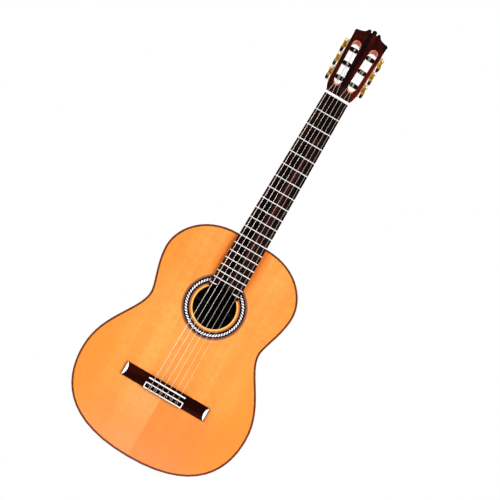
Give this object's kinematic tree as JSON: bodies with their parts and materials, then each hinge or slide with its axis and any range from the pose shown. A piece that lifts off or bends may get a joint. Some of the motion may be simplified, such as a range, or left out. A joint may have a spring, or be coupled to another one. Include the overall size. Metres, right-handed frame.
{
  "type": "classical guitar",
  "caption": "Nylon-string guitar with a braced hollow wooden body, slotted headstock and worm-gear tuning machines.",
  "frame": {"origin": "centre of the sound hole, on the soundboard's outer face", "axes": "+Z along the neck towards the head, +X towards the treble side, +Y through the body from the soundboard to the back"},
  "size_m": [0.362, 0.1108, 0.9733],
  "materials": {
    "spruce_top": "gloss lacquered orange-amber softwood with a fine straight grain",
    "brace_spruce": "bare sanded spruce",
    "rosette_wood": "reddish-brown inlaid wood rings under gloss lacquer",
    "rosette_mosaic": "black ground with a white rope-pattern mosaic, lacquered",
    "rosewood": "gloss lacquered dark red-brown wood",
    "maple_strip": "pale lacquered strip",
    "binding": "gloss lacquered dark wood binding",
    "mahogany": "satin lacquered red-brown wood",
    "head_veneer": "gloss lacquered rosewood veneer",
    "fingerboard_wood": "satin oiled very dark wood with red streaks",
    "bridge_wood": "satin dark red-brown wood",
    "fret_wire": "polished nickel silver",
    "bone": "polished off-white",
    "bone_inlay": "satin white",
    "gold_plate": "polished gold-coloured plating",
    "gear_brass": "machined brass",
    "roller_black": "black moulded",
    "button_black": "polished black",
    "nylon": "clear nylon monofilament",
    "wound_string": "silver-coloured wound wire"
  },
  "bodies": {
    "root": {"soundboard": "spruce_top", "soundhole_patch": "brace_spruce", "rosette_rings": "rosette_wood", "rosette_mosaic": "rosette_mosaic", "top_braces": "brace_spruce", "back_bass": "rosewood", "back_treble": "rosewood", "back_centre_strip": "maple_strip", "back_braces": "brace_spruce", "side_bass": "rosewood", "side_treble": "rosewood", "kerfed_linings": "brace_spruce", "top_binding": "binding", "back_binding": "binding", "neck_block": "mahogany", "end_block": "mahogany", "end_graft": "head_veneer", "neck": "mahogany", "heel_cap": "head_veneer", "headstock": "mahogany", "headplate": "head_veneer", "fingerboard": "fingerboard_wood", "frets": "fret_wire", "nut": "bone", "bridge": "bridge_wood", "saddle": "bone", "bridge_inlays": "bone_inlay", "tuner_plate_bass": "gold_plate", "tuner_plate_treble": "gold_plate", "tuner_screws": "gold_plate", "string_1": "nylon", "string_2": "nylon", "string_3": "nylon", "string_4": "wound_string", "string_5": "wound_string", "string_6": "wound_string"},
    "knob_1": {"tuner_1_worm": "gold_plate", "tuner_1_button": "button_black"},
    "post_1": {"tuner_1_roller": "roller_black", "tuner_1_gear": "gear_brass"},
    "knob_2": {"tuner_2_worm": "gold_plate", "tuner_2_button": "button_black"},
    "post_2": {"tuner_2_roller": "roller_black", "tuner_2_gear": "gear_brass"},
    "knob_3": {"tuner_3_worm": "gold_plate", "tuner_3_button": "button_black"},
    "post_3": {"tuner_3_roller": "roller_black", "tuner_3_gear": "gear_brass"},
    "knob_4": {"tuner_4_worm": "gold_plate", "tuner_4_button": "button_black"},
    "post_4": {"tuner_4_roller": "roller_black", "tuner_4_gear": "gear_brass"},
    "knob_5": {"tuner_5_worm": "gold_plate", "tuner_5_button": "button_black"},
    "post_5": {"tuner_5_roller": "roller_black", "tuner_5_gear": "gear_brass"},
    "knob_6": {"tuner_6_worm": "gold_plate", "tuner_6_button": "button_black"},
    "post_6": {"tuner_6_roller": "roller_black", "tuner_6_gear": "gear_brass"}
  },
  "joints": [
    {"name": "knob_1_turn", "type": "hinge", "parent": "root", "child": "knob_1", "pos_m": [0.0394, 0.02088, 0.52644], "axis": [0, 0.9659, -0.2588], "continuous": true},
    {"name": "post_1_turn", "type": "hinge", "parent": "root", "child": "post_1", "pos_m": [0.03905, 0.0185, 0.51756], "axis": [0.9993, -0.0099, -0.0371], "continuous": true},
    {"name": "knob_2_turn", "type": "hinge", "parent": "root", "child": "knob_2", "pos_m": [0.04075, 0.02993, 0.56022], "axis": [0, 0.9659, -0.2588], "continuous": true},
    {"name": "post_2_turn", "type": "hinge", "parent": "root", "child": "post_2", "pos_m": [0.0404, 0.02755, 0.55134], "axis": [0.9993, -0.0099, -0.0371], "continuous": true},
    {"name": "knob_3_turn", "type": "hinge", "parent": "root", "child": "knob_3", "pos_m": [0.04209, 0.03898, 0.59401], "axis": [0, 0.9659, -0.2588], "continuous": true},
    {"name": "post_3_turn", "type": "hinge", "parent": "root", "child": "post_3", "pos_m": [0.04174, 0.0366, 0.58513], "axis": [0.9993, -0.0099, -0.0371], "continuous": true},
    {"name": "knob_4_turn", "type": "hinge", "parent": "root", "child": "knob_4", "pos_m": [-0.04209, 0.03898, 0.59401], "axis": [0, 0.9659, -0.2588], "continuous": true},
    {"name": "post_4_turn", "type": "hinge", "parent": "root", "child": "post_4", "pos_m": [-0.04174, 0.0366, 0.58513], "axis": [-0.9993, -0.0099, -0.0371], "continuous": true},
    {"name": "knob_5_turn", "type": "hinge", "parent": "root", "child": "knob_5", "pos_m": [-0.04075, 0.02993, 0.56022], "axis": [0, 0.9659, -0.2588], "continuous": true},
    {"name": "post_5_turn", "type": "hinge", "parent": "root", "child": "post_5", "pos_m": [-0.0404, 0.02755, 0.55134], "axis": [-0.9993, -0.0099, -0.0371], "continuous": true},
    {"name": "knob_6_turn", "type": "hinge", "parent": "root", "child": "knob_6", "pos_m": [-0.0394, 0.02088, 0.52644], "axis": [0, 0.9659, -0.2588], "continuous": true},
    {"name": "post_6_turn", "type": "hinge", "parent": "root", "child": "post_6", "pos_m": [-0.03905, 0.0185, 0.51756], "axis": [-0.9993, -0.0099, -0.0371], "continuous": true}
  ],
  "couplings": [
    {"joint": "post_1_turn", "follows": "knob_1_turn", "ratio": 0.071429},
    {"joint": "post_2_turn", "follows": "knob_2_turn", "ratio": 0.071429},
    {"joint": "post_3_turn", "follows": "knob_3_turn", "ratio": 0.071429},
    {"joint": "post_4_turn", "follows": "knob_4_turn", "ratio": 0.071429},
    {"joint": "post_5_turn", "follows": "knob_5_turn", "ratio": 0.071429},
    {"joint": "post_6_turn", "follows": "knob_6_turn", "ratio": 0.071429}
  ]
}
